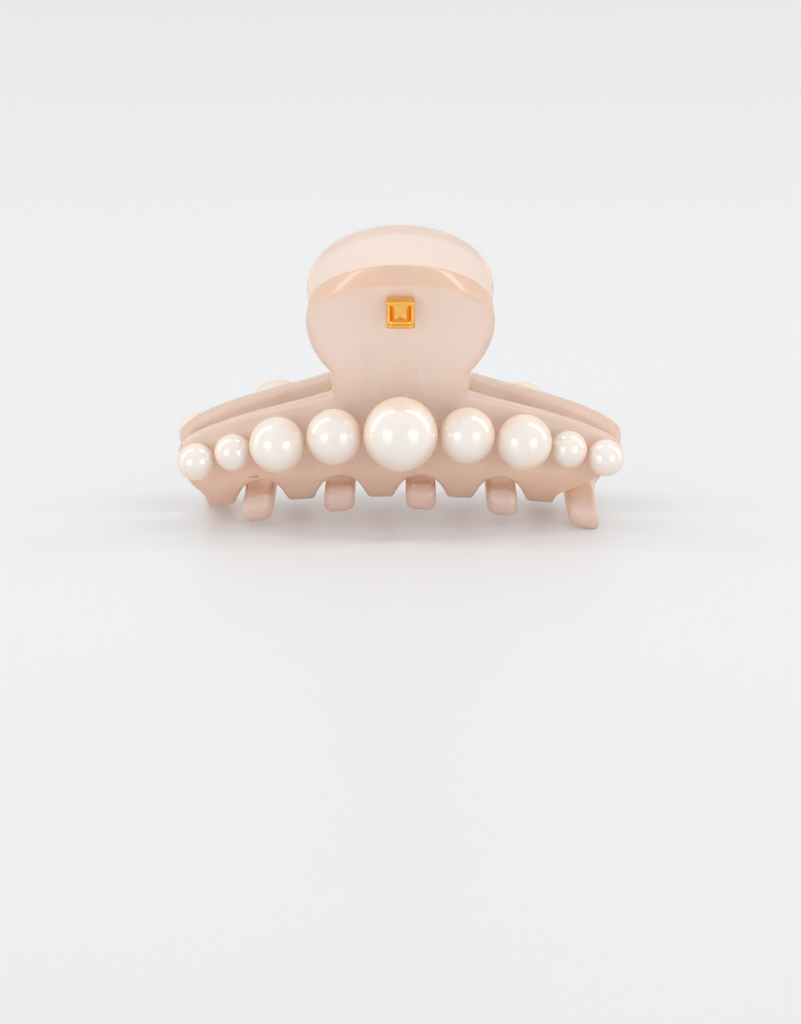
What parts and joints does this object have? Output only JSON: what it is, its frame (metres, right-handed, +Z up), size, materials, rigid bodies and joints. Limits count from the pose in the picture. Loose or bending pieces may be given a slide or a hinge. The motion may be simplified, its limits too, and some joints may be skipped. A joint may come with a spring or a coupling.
{
  "type": "hair claw clip",
  "caption": "Spring-hinged hair claw clip with two identical interleaving toothed jaws, thumb handles and a row of pearls along each jaw.",
  "frame": {"origin": "middle of the clip at the level of the surface it stands on", "axes": "+X along the hinge pin and the clip's length, -Y towards the front jaw, +Z up towards the handles"},
  "size_m": [0.072, 0.0474, 0.0442],
  "materials": {
    "acetate_sheet": "polished translucent nude pink",
    "pearl": "nacre coated",
    "gold_plate": "polished",
    "hinge_brass": "satin",
    "spring_wire": "drawn wire"
  },
  "bodies": {
    "front": {"front_jaw": "acetate_sheet", "front_hinge_leaf": "hinge_brass", "front_rivet_left": "hinge_brass", "front_rivet_right": "hinge_brass", "hinge_pin": "hinge_brass", "torsion_spring": "spring_wire", "emblem_frame": "gold_plate", "emblem_tile": "gold_plate", "emblem_stud_lower": "hinge_brass", "emblem_stud_upper": "hinge_brass", "front_pearl_1": "pearl", "front_pearl_2": "pearl", "front_pearl_3": "pearl", "front_pearl_4": "pearl", "front_pearl_5": "pearl", "front_pearl_6": "pearl", "front_pearl_7": "pearl", "front_pearl_8": "pearl", "front_pearl_9": "pearl", "front_peg_1": "hinge_brass", "front_peg_2": "hinge_brass", "front_peg_3": "hinge_brass", "front_peg_4": "hinge_brass", "front_peg_5": "hinge_brass", "front_peg_6": "hinge_brass", "front_peg_7": "hinge_brass", "front_peg_8": "hinge_brass", "front_peg_9": "hinge_brass"},
    "rear": {"rear_jaw": "acetate_sheet", "rear_hinge_leaf": "hinge_brass", "rear_rivet_left": "hinge_brass", "rear_rivet_right": "hinge_brass", "rear_pearl_1": "pearl", "rear_pearl_2": "pearl", "rear_pearl_3": "pearl", "rear_pearl_4": "pearl", "rear_pearl_5": "pearl", "rear_pearl_6": "pearl", "rear_pearl_7": "pearl", "rear_pearl_8": "pearl", "rear_pearl_9": "pearl", "rear_peg_1": "hinge_brass", "rear_peg_2": "hinge_brass", "rear_peg_3": "hinge_brass", "rear_peg_4": "hinge_brass", "rear_peg_5": "hinge_brass", "rear_peg_6": "hinge_brass", "rear_peg_7": "hinge_brass", "rear_peg_8": "hinge_brass", "rear_peg_9": "hinge_brass"}
  },
  "joints": [
    {"name": "jaw_open", "type": "hinge", "parent": "front", "child": "rear", "pos_m": [0, 0, 0.02128], "axis": [1, 0, 0], "range_deg": [0, 60], "stiffness_Nm_per_rad": 0.05, "springref_deg": -45.84, "deforming": ["torsion_spring"]}
  ]
}
